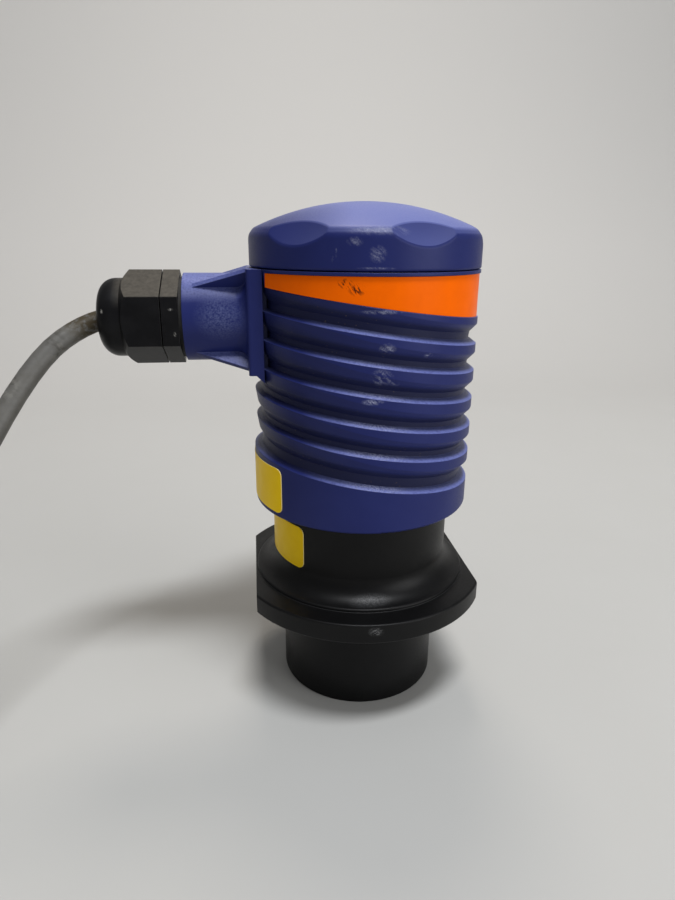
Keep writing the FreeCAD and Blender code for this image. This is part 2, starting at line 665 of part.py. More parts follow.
def make_housing():
    socket = "(%s + fit_gap)" % NECK
    bore = "(%s - deck_ledge)" % CHAMBER
    socket_top = SPIGOT_TOP + " + fit_gap"
    body = turned("housing_moulding", [
        (socket, COLLAR), ("body_radius", COLLAR), ("body_radius", RIM_TOP), (CHAMBER, RIM_TOP),
        (CHAMBER, "deck_level"), (bore, "deck_level"), (bore, socket_top), (socket, socket_top)])
    round_rings(body, "collar_edge", "edge_round", [("body_radius", COLLAR)])
    cut_rib_grooves(body)
    add_cable_entry(body)

    sketch = sketch_on(body, "XY_Plane", "screw_columns", shift=(0, 0, "deck_level - column_height"))
    holes = sketch_on(body, "XY_Plane", "screw_holes", shift=(0, 0, "deck_level"))
    for side in ("", "-"):
        ring(sketch, 0, side + COLUMN, "column_radius")
        ring(holes, 0, side + COLUMN, "screw_radius + fit_gap")
    feature(body, "Pad", sketch, "screw_columns_pad", length="column_height")
    feature(body, "Pocket", holes, "screw_holes_cut", length="screw_length + fit_gap")

    seat = "(body_radius - band_recess)"
    band_top = "(%s - rim_height)" % RIM_TOP
    recess = band_blank("band_recess", (seat, "body_radius + band_recess"), ("band_level", band_top),
                        "band_end_gap - fit_gap")
    piece(cut("housing_cut", body, [recess]), "housing")
    band = band_blank("band_ring", (seat + " + fit_gap / 2", seat + " + band_thickness"),
                      ("(band_level + fit_gap)", band_top + " - fit_gap"), "band_end_gap")
    piece(band, "orange_band")


# Screw cap and its seal


def make_cap():
    ridge = "(body_radius - cap_slope_width)"
    ridge_level = "(%s - dome_radius + sqrt(dome_radius ^ 2 - %s ^ 2))" % (CAP_TOP, ridge)
    side_top = "(%s - cap_slope_height)" % ridge_level
    hollow = "(%s - cap_spigot_wall)" % CAP_SPIGOT
    inner_dome = "(dome_radius - cap_wall)"
    inner_edge = "(%s - dome_radius + sqrt(%s ^ 2 - %s ^ 2))" % (CAP_TOP, inner_dome, hollow)
    seal_top = "(cap_level - cap_seal_rise)"
    seal_bottom = "(%s - seal_width)" % seal_top
    seal_floor = "(%s - seal_depth)" % CAP_SPIGOT
    spigot_end = "cap_level - cap_spigot"
    body = turned("cap_moulding", [
        (0, CAP_TOP), (ridge, ridge_level, "-dome_radius"), ("body_radius", side_top),
        ("body_radius", "cap_level"), (CAP_SPIGOT, "cap_level"), (CAP_SPIGOT, seal_top),
        (seal_floor, seal_top), (seal_floor, seal_bottom), (CAP_SPIGOT, seal_bottom),
        (CAP_SPIGOT, spigot_end), (hollow, spigot_end), (hollow, inner_edge),
        (0, CAP_TOP + " - cap_wall", inner_dome)])
    round_rings(body, "cap_shoulder", "cap_round", [(ridge, ridge_level), ("body_radius", side_top)])
    round_rings(body, "cap_edge", "edge_round", [("body_radius", "cap_level")])
    ball = body.newObject("PartDesign::SubtractiveSphere", "finger_scoop")
    tie(ball, "Radius", "scoop_radius")
    tie(ball, "Placement.Base.x", "body_radius + (scoop_radius - scoop_depth) * cos(scoop_rise)")
    tie(ball, "Placement.Base.z", CAP_TOP + " + (scoop_radius - scoop_depth) * sin(scoop_rise)")
    doc.recompute()
    scoops = body.newObject("PartDesign::PolarPattern", "finger_scoops")
    scoops.Originals = [ball]
    scoops.Axis = (next(item for item in body.Origin.OriginFeatures if item.Role == "Z_Axis"), [""])
    scoops.Angle = 360
    tie(scoops, "Occurrences", "scoop_count")
    body.Tip = scoops
    doc.recompute()
    hollow_radius = number("scoop_radius")
    rims = [edge.hashCode() for face in scoops.Shape.Faces for edge in face.Edges
            if isinstance(face.Surface, Part.Sphere) and abs(face.Surface.Radius - hollow_radius) < NEAR]
    round_edges(body, "scoop_rims", "scoop_round", lambda edge: edge.hashCode() in rims)
    body.Placement = Placement(Vector(0, 0, 0), Rotation(Vector(0, 0, 1), number("scoop_turn")))
    tie(body, "Placement.Rotation.Angle", "scoop_turn")
    doc.recompute()
    piece(body, "cap")
    piece(seal_ring("cap_seal", seal_floor + " + seal_wire + fit_gap / 2", seal_top + " - seal_width / 2"),
          "cap_oring")


# Labels


def make_label(label, radius, width, height, level, turn):
    """Thin label with round corners, bent round a cylinder and facing its own -Y before it is turned."""
    body = new_body(label + "_sheet")
    sketch = sketch_on(body, "XZ_Plane", label + "_outline")
    side = "(%s / 2)" % width
    inner = "(%s / 2 - label_round)" % width
    top = "(%s + %s)" % (level, height)
    draw(sketch, [
        ("-" + inner, level, "label_round"), (inner, level),
        (side, level + " + label_round", "label_round"), (side, top + " - label_round"),
        (inner, top, "label_round"), ("-" + inner, top),
        ("-" + side, top + " - label_round", "label_round"), ("-" + side, level + " + label_round")])
    feature(body, "Pad", sketch, label + "_pad", length="2 * body_radius")
    sketch = sketch_on(body, "XY_Plane", label + "_back")
    ring(sketch, 0, 0, radius)
    feature(body, "Pocket", sketch, label + "_back_cut", Type="ThroughAll", SideType="Symmetric")
    sketch = sketch_on(body, "XY_Plane", label + "_front")
    ring(sketch, 0, 0, radius + " + label_thickness")
    ring(sketch, 0, 0, "4 * body_radius")
    feature(body, "Pocket", sketch, label + "_front_cut", Type="ThroughAll", SideType="Symmetric")
    body.Placement = Placement(Vector(0, 0, 0), Rotation(Vector(0, 0, 1), number(turn)))
    tie(body, "Placement.Rotation.Angle", turn)
    doc.recompute()
    piece(body, label)


# Cable gland


def make_gland():
    washer = turned("washer_ring", [
        ("thread_radius + fit_gap", BOSS_END), ("washer_radius", BOSS_END),
        ("washer_radius", LOCK_START), ("thread_radius + fit_gap", LOCK_START)])
    along_gland(washer)
    piece(washer, "gland_washer")

    thread = "(thread_radius - fit_gap)"
    thread_end = BOSS_END + " - thread_length + fit_gap"
    seat = "(%s - seat_depth)" % LOCK_END
    body = turned("gland_stem", [
        ("gland_bore", thread_end), (thread, thread_end), (thread, LOCK_START), ("hex_corner", LOCK_START),
        ("hex_corner", LOCK_END), ("stem_radius", LOCK_END), ("stem_radius", STEM_END),
        ("stem_bore", STEM_END), ("stem_bore", seat), ("gland_bore", seat)])
    cut_hexagon(body, "lock_flats", LOCK_START, LOCK_END)
    along_gland(body)
    piece(body, "gland_body")

    seal = turned("seal_insert", [
        ("cable_radius + fit_gap", seat + " + run_gap"), ("stem_bore - fit_gap", seat + " + run_gap"),
        ("stem_bore - fit_gap", STEM_END), ("cable_radius + fit_gap", STEM_END)])
    along_gland(seal)
    piece(seal, "gland_seal")

    thread_bore = "(stem_radius + run_gap)"
    cone_start = "(%s + run_gap)" % STEM_END
    face = "(nut_dome_radius - nut_dome_round)"
    nut = turned("dome_nut", [
        (thread_bore, NUT_START), ("hex_corner", NUT_START), ("hex_corner", NUT_SHOULDER),
        ("nut_dome_radius", DOME_START), ("nut_dome_radius", DOME_END + " - nut_dome_round"),
        (face, DOME_END, "nut_dome_round"), ("nut_mouth", DOME_END),
        ("nut_mouth", cone_start + " + nut_cone"), (thread_bore, cone_start)])
    cut_hexagon(nut, "nut_flats", NUT_START, DOME_START)
    along_gland(nut)
    piece(nut, "gland_dome_nut")


# Cable: its free route is a hand-chosen list, from inside the gland down to the coil on the floor
CABLE_ROUTE = [
    (-57.4, 0.0, 125.2),
    (-78.7, 0.0, 125.2),
    (-98.2, -10.7, 113.8),
    (-117.3, -36.9, 73.5),
    (-120.0, -44.1, 47.6),
    (-137.0, -47.5, 23.5),
    (-159.5, -47.5, 5.0),
    (-184.0, -45.0, 3.3),
]


def coil_section(name, inset):
    """Turned ring with the coil's rounded section, smaller all round by the inset."""
    inner = "(coil_middle - coil_width / 2 + %s)" % inset
    outer = "(coil_middle + coil_width / 2 - %s)" % inset
    low = "(0 + %s)" % inset
    high = "(coil_height - %s)" % inset
    body = turned(name, [(inner, low + " + coil_round"), (inner + " + coil_round", low, "coil_round"),
                         (outer + " - coil_round", low), (outer, low + " + coil_round", "coil_round"),
                         (outer, high + " - coil_round"), (outer + " - coil_round", high, "coil_round"),
                         (inner + " + coil_round", high), (inner, high + " - coil_round", "coil_round")])
    place(body, ("coil_x", "coil_y", 0))
    return body


def make_cable():
    sheath = number("cable_radius")
    piece(tube("free_cable", [Vector(*point) for point in CABLE_ROUTE], sheath), "cable")
    inner = rod("sheath_end", "cable_radius", "cable_start - sheath_inside",
                ("-sheath_inside", 0, "gland_level"))
    inner.Placement.Rotation = Rotation(Vector(0, 1, 0), -90)
    piece(inner, "cable_inner")

    ring_body = coil_section("coil_ring", "0")
    core_body = coil_section("coil_core", "tie_thickness")
    slab = box("tie_slab", ("tie_width", "coil_width * 2", "coil_height * 2"),
               ("coil_x - tie_width / 2", "coil_y + coil_middle - coil_width", "-coil_height / 2"))
    strap = doc.addObject("Part::Common", "tie_segment")
    strap.Base = ring_body
    strap.Tool = slab
    strap = cut("tie_strap", strap, [core_body])
    piece(strap, "coil_tie")
    piece(cut("coil_turns", ring_body, [strap]), "cable_coil")

    coil_outside = "(coil_middle + coil_width / 2)"
    outer_turn = "(coil_x - %s + cable_radius)" % coil_outside
    tail_start = "(coil_y + sqrt(%s ^ 2 - (%s - cable_radius) ^ 2))" % (coil_outside, coil_outside)
    tail = rod("tail_tube", "cable_radius", "tail_end - " + tail_start,
               (outer_turn, tail_start, "cable_radius"))
    tail.Placement.Rotation = Rotation(Vector(1, 0, 0), -90)
    piece(tail, "cable_tail")
    cores = []
    ferrules = []
    for index, side in enumerate((-1, 1)):
        lean = Rotation(Vector(0, 0, 1), -side * number("far_core_turn")) * Rotation(Vector(1, 0, 0), -90)
        start = "(tail_end + core_radius * sin(far_core_turn))"
        base = ("%s + %d * core_spread" % (outer_turn, side), start, "cable_radius")
        core = rod("far_core_%d" % index, "core_radius", "far_core_length", base)
        core.Placement.Rotation = lean
        cores.append(core)
        tip = (base[0] + " + %d * far_core_length * sin(far_core_turn)" % side,
               start + " + far_core_length * cos(far_core_turn)", "cable_radius")
        ferrule = rod("ferrule_%d" % index, "ferrule_radius", "ferrule_length", tip)
        ferrule.Placement.Rotation = lean
        ferrules.append(ferrule)
    piece(group("far_core_pair", cores), "far_cores")
    piece(group("ferrule_pair", ferrules), "far_ferrules")


# Connection chamber


def pole_offsets():
    count = int(number("pole_count"))
    return ["%g * pole_pitch" % (index - (count - 1) / 2) for index in range(count)]


def make_chamber():
    deck = rod("deck_plate", CHAMBER + " - fit_gap", "deck_thickness", (0, 0, "deck_level"))
    lugs = []
    for index, (x_side, y_side) in enumerate(((-1, -1), (-1, 1), (1, -1), (1, 1))):
        inner = "(%s + fit_gap)" % BOARD_FACE
        y = inner if y_side > 0 else "-%s - lug_thickness" % inner
        lugs.append(box("board_lug_%d" % index, ("lug_length", "lug_thickness", "lug_height + fit_gap"),
                        ("%d * lug_offset - lug_length / 2" % x_side, y, "deck_level - lug_height")))
    fused = doc.addObject("Part::MultiFuse", "deck_with_lugs")
    fused.Shapes = [deck] + lugs
    holes = [rod("deck_hole_%d" % index, "screw_radius + fit_gap", "2 * deck_thickness",
                 (0, "%d * %s" % (side, COLUMN), "deck_level - deck_thickness / 2"))
             for index, side in enumerate((-1, 1))]
    piece(cut("deck_bored", fused, holes), "terminal_deck")

    screws = []
    for index, side in enumerate((-1, 1)):
        y = "%d * %s" % (side, COLUMN)
        shank = rod("shank_%d" % index, "screw_radius", "screw_length + deck_thickness + fit_gap",
                    (0, y, "deck_level - screw_length"))
        head = rod("head_%d" % index, "screw_head_radius", "screw_head_height", (0, y, DECK_TOP))
        joined = doc.addObject("Part::Fuse", "deck_screw_%d" % index)
        joined.Base = shank
        joined.Tool = head
        slot_floor = DECK_TOP + " + screw_head_height - slot_depth"
        slot = box("head_slot_%d" % index, ("slot_width", "4 * screw_head_radius", "slot_depth * 2"),
                   ("-slot_width / 2", y + " - 2 * screw_head_radius", slot_floor))
        screws.append(cut("deck_screw_slotted_%d" % index, joined, [slot]))
    piece(group("deck_screw_pair", screws), "deck_screws")

    front = "(block_x - block_depth / 2)"
    width = "(pole_count * pole_pitch)"
    block = box("block_body", ("block_depth", width, "block_height"), (front, "-%s / 2" % width, DECK_TOP))
    block_top = "(%s + block_height)" % DECK_TOP
    clamp_base = "(%s - clamp_sink - clamp_height)" % block_top
    tools = []
    clamps = []
    for index, y in enumerate(pole_offsets()):
        tools.append(rod("clamp_hole_%d" % index, "clamp_radius + fit_gap", "2 * clamp_height",
                         ("block_x", y, clamp_base)))
        entry = rod("wire_hole_%d" % index, "core_radius + fit_gap", "wire_hole_depth + fit_gap",
                    (front + " + wire_hole_depth", y, DECK_TOP + " + wire_hole_rise"))
        entry.Placement.Rotation = Rotation(Vector(0, 1, 0), -90)
        tools.append(entry)
        clamp = rod("clamp_%d" % index, "clamp_radius", "clamp_height", ("block_x", y, clamp_base))
        slot_floor = clamp_base + " + clamp_height - slot_depth"
        slot = box("clamp_slot_%d" % index, ("4 * clamp_radius", "slot_width", "2 * slot_depth"),
                   ("block_x - 2 * clamp_radius", y + " - slot_width / 2", slot_floor))
        clamps.append(cut("clamp_slotted_%d" % index, clamp, [slot]))
    piece(cut("block_bored", block, tools), "terminal_block")
    piece(group("clamp_row", clamps), "terminal_screws")

    cores = []
    start = -number("sheath_inside")
    level = number("gland_level")
    hole = number(DECK_TOP + " + wire_hole_rise")
    entry = number(front)
    depth = number("wire_hole_depth")
    straight = number("core_straight")
    for index, side in enumerate((-1, 1)):
        at_sheath = side * number("core_spread")
        at_pole = side * number("pole_pitch")
        points = [Vector(start, at_sheath, level), Vector(start + straight, at_sheath, level),
                  Vector(entry - straight, at_pole, hole), Vector(entry + depth, at_pole, hole)]
        cores.append(tube("inner_core_%d" % index, points, number("core_radius")))
    piece(group("inner_core_pair", cores), "inner_cores")


# Electronics on the board under the deck


def make_electronics():
    piece(box("board", ("board_width", "board_thickness", "board_height"),
              ("-board_width / 2", "-" + BOARD_FACE, BOARD_BOTTOM)), "circuit_board")
    transformer_bottom = PARTS_LEVEL + " - transformer_size / 2"
    transformer = box("transformer", ("transformer_size", "transformer_depth", "transformer_size"),
                      ("transformer_x - transformer_size / 2", BOARD_FACE, transformer_bottom))
    piece(transformer, "pulse_transformer")
    cans = []
    for index in range(2):
        can = rod("capacitor_%d" % index, "capacitor_radius", "capacitor_length",
                  ("capacitor_x + %d * capacitor_pitch" % index, BOARD_FACE, PARTS_LEVEL))
        can.Placement.Rotation = Rotation(Vector(1, 0, 0), -90)
        cans.append(can)
    piece(group("capacitor_pair", cans), "capacitors")
    piece(box("chip", ("chip_size", "chip_thickness", "chip_size"),
              ("-chip_size / 2", "-%s - chip_thickness" % BOARD_FACE, PARTS_LEVEL + " - chip_size / 2")),
          "controller_chip")
    piece(box("connector", ("connector_width", "connector_width", "connector_height"),
              ("lead_x - connector_width / 2", BOARD_FACE, BOARD_BOTTOM)), "board_connector")


def write_pieces():
    """Check the document, then write one STEP file for each sub-part."""
    doc.recompute()
    failed = [item.Name for item in doc.Objects if {"Invalid", "Error"} & set(item.State)]
    for item in pieces:
        if item.Shape.isNull() or not item.Shape.isValid() or not item.Shape.Solids:
            failed.append(item.Label)
    if failed:
        raise RuntimeError("failed: " + ", ".join(failed))
    os.makedirs("parts", exist_ok=True)
    for item in pieces:
        item.Shape.exportStep("parts/%s.step" % item.Label)


make_transducer()
make_sensor()
make_housing()
make_cap()
make_label("collar_label", "body_radius", "collar_label_width", "collar_label_height", "collar_label_level",
           "collar_label_turn")
make_label("neck_label", NECK, "neck_label_width", "neck_label_height", "neck_label_level",
           "neck_label_turn")
make_gland()
make_cable()
make_chamber()
make_electronics()
write_pieces()
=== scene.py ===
"""Ultrasonic level transmitter: finishes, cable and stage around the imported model."""
import math

import bmesh
import bpy
from bpy.props import FloatProperty, FloatVectorProperty, PointerProperty
from mathutils import Matrix, Vector


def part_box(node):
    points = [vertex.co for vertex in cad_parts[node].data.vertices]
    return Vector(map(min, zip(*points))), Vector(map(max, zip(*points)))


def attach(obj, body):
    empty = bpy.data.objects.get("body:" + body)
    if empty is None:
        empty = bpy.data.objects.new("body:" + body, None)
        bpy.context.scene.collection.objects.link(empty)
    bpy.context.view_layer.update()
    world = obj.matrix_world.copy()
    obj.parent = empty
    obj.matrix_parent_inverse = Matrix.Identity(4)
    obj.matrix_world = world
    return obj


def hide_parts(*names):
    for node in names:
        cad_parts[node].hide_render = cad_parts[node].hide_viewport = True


bl_info = {
    "name": "Ultrasonic Level Transmitter",
    "version": (1, 0, 0),
    "blender": (4, 5, 0),
    "location": "View3D > Sidebar > Transmitter",
    "description": "Finishes, cable and stage of an ultrasonic level transmitter",
    "category": "Object",
}

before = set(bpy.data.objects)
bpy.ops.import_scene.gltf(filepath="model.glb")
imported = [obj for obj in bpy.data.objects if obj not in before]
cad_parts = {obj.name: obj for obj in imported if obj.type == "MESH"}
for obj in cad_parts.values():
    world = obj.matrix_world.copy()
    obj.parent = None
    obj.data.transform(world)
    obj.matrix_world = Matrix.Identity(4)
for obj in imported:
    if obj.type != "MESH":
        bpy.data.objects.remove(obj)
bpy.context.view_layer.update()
MM = 0.001


def linear(code):
    """Linear colour of an sRGB hex value."""
    parts = [int(code[start:start + 2], 16) / 255 for start in (1, 3, 5)]
    return tuple(part / 12.92 if part <= 0.04045 else ((part + 0.055) / 1.055) ** 2.4 for part in parts)


def colour(name, description, code):
    """Colour property with an sRGB default."""
    return FloatVectorProperty(name=name, description=description, default=linear(code), subtype="COLOR",
                               size=3, min=0.0, max=1.0)


def length(name, description, millimetres):
    """Length property with a default in millimetres."""
    return FloatProperty(name=name, description=description, default=millimetres * MM, unit="LENGTH",
                         precision=5, min=0.0)


def lamp_power(name, description, watts):
    """Power property of a lamp."""
    return FloatProperty(name=name, description=description, default=watts, unit="POWER", min=0.0)


class TransmitterColours(bpy.types.PropertyGroup):
    """Colours of the transmitter and its stage."""
    housing_blue: colour("Housing blue", "Moulded housing and screw cap", "#1c245d")
    # Chalky paling with painted top light where the housing looks up, and a painted highlight on its edges.
    chalk_and_top_light_blue: colour("Chalky blue", "Housing where it looks up and has paled", "#7f89c9")
    transducer_black: colour("Transducer black", "Moulded transducer", "#09090a")
    band_orange: colour("Band orange", "Band under the cap", "#fb6a00")
    label_yellow: colour("Label yellow", "Bare labels", "#ffd406")
    gland_black: colour("Gland black", "Cable gland", "#101012")
    dust_brown: colour("Dust", "Settled dust and dirt", "#7d776c")
    cable_grey: colour("Cable grey", "Cable sheath", "#5b5a57")
    floor_grey: colour("Floor grey", "Floor and backdrop", "#b9b9b7")


class TransmitterSizes(bpy.types.PropertyGroup):
    """Sizes of what is made here, and the lamps."""
    cable_diameter: length("Cable diameter", "Sheath of the cable", 6.0)
    cable_length: length("Cable length", "Free cable, from the gland to the sheath's far end", 2800.0)
    cap_spigot_radius: length("Cap spigot", "Radius of the cap's spigot, which carries its thread", 29.9)
    cap_thread_pitch: length("Cap thread pitch", "Rise of the cap for one turn", 3.0)
    cap_thread_lead_in: length("Cap thread lead-in", "Plain end of the spigot before its thread", 1.2)
    cap_thread_plain: length("Cap thread plain ends", "Spigot length that the thread leaves plain", 2.6)
    cap_thread_height: length("Cap thread height", "Ridge of the cap's thread", 0.22)
    tie_rounding: length("Tie rounding", "Rounded edges of the tie's head", 0.5)
    front_power: lamp_power("Front ceiling lamp", "Power of the long lamp overhead, towards the viewer", 10.0)
    back_power: lamp_power("Back ceiling lamp", "Power of the lamp overhead, behind the object", 3.4)
    side_power: lamp_power("Side lamp", "Power of the wide soft lamp at the right", 7.0)


def colours():
    """Colours as the panel has them."""
    return bpy.context.scene.transmitter_colours


def sizes():
    """Sizes as the panel has them."""
    return bpy.context.scene.transmitter_sizes


# Nodes and materials


def add(tree, kind, inputs, out=0, **settings):
    """Add a shader node and return one of its outputs: an input takes a value or another node's output."""
    item = tree.nodes.new("ShaderNode" + kind)
    for name, value in settings.items():
        setattr(item, name, value)
    for name, value in inputs.items():
        if isinstance(value, bpy.types.NodeSocket):
            tree.links.new(value, item.inputs[name])
        else:
            item.inputs[name].default_value = value
    return item.outputs[out]


def rgba(shade):
    """Opaque colour for a socket of four values."""
    return (*shade, 1.0)


class Finish:
    """Material under construction: its Principled shader, and where the surface is and looks."""

    def __init__(self, name, **constants):
        self.material = bpy.data.materials.new(name)
        self.material.use_nodes = True
        self.tree = self.material.node_tree
        self.shader = self.tree.nodes["Principled BSDF"]
        self.place = add(self.tree, "TexCoord", {}, out="Object")
        self.facing = add(self.tree, "TexCoord", {}, out="Normal")
        self.rounded = None
        for name, value in constants.items():
            self.shader.inputs[name.replace("_", " ").title().replace("Ior", "IOR")].default_value = value

    def patches(self, size, low=0.3, high=0.7, detail=3.0, lie=None):
        """Soft patches of a size in millimetres, from 0 to 1; lie stretches them along turned axes."""
        place = self.place
        if lie:
            stretch, turn = lie
            place = add(self.tree, "Mapping", {"Vector": place, "Scale": stretch, "Rotation": turn},
                        vector_type="TEXTURE")
        noise = add(self.tree, "TexNoise", {"Vector": place, "Scale": 1 / (size * MM), "Detail": detail})
        return add(self.tree, "MapRange", {"Value": noise, "From Min": low, "From Max": high})

    def upward(self, low, high):
        """0 to 1 as the surface turns to look up."""
        up = add(self.tree, "SeparateXYZ", {0: self.facing}, out="Z")
        return add(self.tree, "MapRange", {"Value": up, "From Min": low, "From Max": high})

    def spots(self, marks, edge=0.35):
        """Soft spots, each with its middle and its radii along the axes in millimetres."""
        together = None
        for middle, radii in marks:
            offset = add(self.tree, "VectorMath", {0: self.place, 1: [value * MM for value in middle]},
                         operation="SUBTRACT")
            ratio = add(self.tree, "VectorMath", {0: offset, 1: [value * MM for value in radii]},
                        operation="DIVIDE")
            away = add(self.tree, "VectorMath", {0: ratio}, out="Value", operation="LENGTH")
            spot = add(self.tree, "MapRange", {"Value": away, "From Min": 1.0, "From Max": edge})
            if together:
                spot = add(self.tree, "Math", {0: together, 1: spot}, operation="MAXIMUM")
            together = spot
        return together

    def distance(self, middle, axes, low, high):
        """0 at the low and 1 at the high distance from a middle, along some of the axes, in millimetres."""
        offset = add(self.tree, "VectorMath", {0: self.place, 1: [value * MM for value in middle]},
                     operation="SUBTRACT")
        flat = add(self.tree, "VectorMath", {0: offset, 1: axes}, operation="MULTIPLY")
        away = add(self.tree, "VectorMath", {0: flat}, out="Value", operation="LENGTH")
        return add(self.tree, "MapRange", {"Value": away, "From Min": low * MM, "From Max": high * MM})

    def worn_and_highlit_edges(self, radius, low=0.03, high=0.25):
        """Round off the edges to the eye, and mark them from 0 to 1."""
        self.rounded = add(self.tree, "Bevel", {"Radius": radius * MM}, samples=6)
        plain = add(self.tree, "NewGeometry", {}, out="Normal")
        turned = add(self.tree, "VectorMath", {0: self.rounded, 1: plain}, out="Value",
                     operation="DOT_PRODUCT")
        return add(self.tree, "MapRange", {"Value": turned, "From Min": 1 - low, "From Max": 1 - high})

    def coats(self, base, *coats):
        """Colour of a base under coats, each with its strength, its colour and the patterns that bound it."""
        tone = base if isinstance(base, bpy.types.NodeSocket) else rgba(base)
        for strength, shade, *bounds in coats:
            share = strength
            for bound in bounds:
                share = add(self.tree, "Math", {0: share, 1: bound}, operation="MULTIPLY")
            tone = add(self.tree, "Mix", {0: share, 6: tone, 7: rgba(shade)}, out=2, data_type="RGBA")
        return tone

    def cover(self, tone, gloss, relief):
        """Colour, roughness between two values along a pattern, and relief with a depth in millimetres."""
        pattern, low, high = gloss
        rough = add(self.tree, "MapRange", {"Value": pattern, "To Min": low, "To Max": high})
        height, depth, strength = relief
        inputs = {"Height": height, "Distance": depth * MM, "Strength": strength}
        if self.rounded:
            inputs["Normal"] = self.rounded
        bump = add(self.tree, "Bump", inputs)
        for socket, source in (("Base Color", tone), ("Roughness", rough), ("Normal", bump)):
            self.tree.links.new(source, self.shader.inputs[socket])
        return self.material


def dress(node, material):
    """Give a CAD node its material."""
    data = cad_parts[node].data
    data.materials.clear()
    data.materials.append(material)


# Wear, dirt, painted highlights and painted crease shade: middle and radii in millimetres
HOUSING_RUBS = [
    ((0.7, -35.0, 120.2), (2.6, 3.0, 1.9)),
    ((12.6, -32.7, 118.0), (1.6, 2.0, 0.9)),
    ((-0.7, -35.0, 112.4), (3.6, 3.0, 2.9)),
    ((3.0, -34.9, 110.7), (1.6, 2.0, 1.0)),
    ((-3.0, -34.8, 106.0), (3.4, 3.0, 1.0)),
    ((-1.0, -34.7, 129.9), (6.5, 3.0, 0.7)),
]
CAP_RUBS_AND_CROWN_HIGHLIGHT = [
    ((-12.9, -32.5, 144.5), (0.3, 2.0, 1.3)),
    ((-13.7, -32.2, 142.8), (0.35, 2.0, 1.0)),
    ((-2.6, -34.9, 144.2), (2.6, 2.0, 2.4)),
    ((-8.4, -34.0, 147.2), (2.4, 2.0, 1.4)),
    ((-3.0, -34.9, 140.8), (6.0, 2.0, 0.35)),
    # Painted highlight where the crown meets the side, at the front.
    ((-1.5, -33.0, 149.8), (9.5, 3.0, 1.6)),
]
FLANGE_RUBS = [((-1.6, -42.2, 38.5), (2.6, 2.0, 1.7))]
# Pale rubs on the shoulder that also paint its highlight.
SHOULDER_RUBS_AND_HIGHLIGHT = [((-2.0, -33.0, 43.6), (9.0, 3.0, 2.4))]
BAND_SCRATCHES = [
    ((-10.6, -32.9, 136.9), (2.4, 2.0, 1.5)),
    ((-7.6, -33.7, 135.4), (2.6, 2.0, 1.8)),
]
GLAND_CHIPS = [
    ((-57.4, -12.7, 128.6), (0.9, 2.0, 0.5)),
    ((-56.6, -12.7, 121.6), (0.5, 2.0, 0.9)),
    ((-76.6, -10.6, 128.0), (0.5, 2.0, 0.8)),
]
HANDLED_FRONT = [((-1.0, -35.0, 92.0), (11.0, 8.0, 40.0))]
ERODED_BOSS = [((-43.5, -12.5, 126.5), (8.0, 7.0, 7.5))]
SHEATH_DIRT = [((-81.5, 0.0, 124.5), (13.0, 9.0, 9.0))]
# Places where the sheath's creases get painted shade.
SHEATH_CREASES = [
    ((-91.0, -6.0, 118.0), (4.0, 7.0, 7.0)),
    ((-102.0, -15.0, 108.0), (4.0, 7.0, 7.0)),
]

# Strokes of the wear and of the painted crease shade: stretch along turned axes, and their turn
HANDLING_STROKES = ((1.0, 1.0, 4.0), (0.0, math.radians(-50), 0.0))
FLANGE_STROKES = ((1.0, 1.0, 3.0), (0.0, math.radians(60), 0.0))
BAND_STROKES = ((1.0, 1.0, 3.5), (0.0, math.radians(-35), 0.0))
SHEATH_FOLDS = ((1.0, 1.0, 3.0), (0.0, math.radians(-50), 0.0))

# Zones: middle, axes to measure along, and the distances in millimetres where each starts and is full
AXIS = (0.0, 0.0, 0.0)
ACROSS = (1, 1, 0)
ALONG = (1, 0, 0)
# The next two zones are painted shade near the entry plate: they hold back the chalk and top light on that
# side.
PAST_PAINTED_PLATE_SHADE = ((-27.0, -24.0, 0.0), ACROSS, 6.0, 21.0)
PAST_PAINTED_CAP_SHADE = ((-40.0, -20.0, 0.0), ACROSS, 10.0, 33.0)
IN_GROOVE = (AXIS, ACROSS, 34.5, 33.7)
OUTSIDE_BORE = (AXIS, ACROSS, 31.0, 31.5)
ON_HEXAGONS = ((-58.0, 0.0, 0.0), ALONG, 16.0, 13.0)


def blue_moulding(finish, chalk_and_top_light_masks, rubs, strength):
    """Colour and grain of glass-filled polyester, injection moulded in a spark-eroded tool: dull and finely
    grained, chalky with painted top light where the patterns say, edges painted pale partly as wear and
    partly as highlight, and pale handling rubs."""
    grain = finish.patches(0.45, detail=2.0)  # coarser than the real 0.1 mm, so that it shows
    cloud = finish.patches(9.0)
    grit = finish.patches(0.3, detail=4.0)
    edges = finish.worn_and_highlit_edges(0.35)
    smears = finish.patches(0.8, 0.4, 0.64, detail=4.0, lie=HANDLING_STROKES)
    tone = finish.coats(
        colours().housing_blue,
        (0.3, linear("#252e69"), cloud),
        # Chalky paling with painted top light on what looks up, held back by painted shade near the entry
        # plate.
        (0.6, colours().chalk_and_top_light_blue, *chalk_and_top_light_masks),
        # Edges painted pale: partly wear, partly painted highlight.
        (0.12, colours().chalk_and_top_light_blue, edges),
        (strength, linear("#b4b8d0"), finish.spots(rubs, 0.2), smears, grit))
    return tone, grain


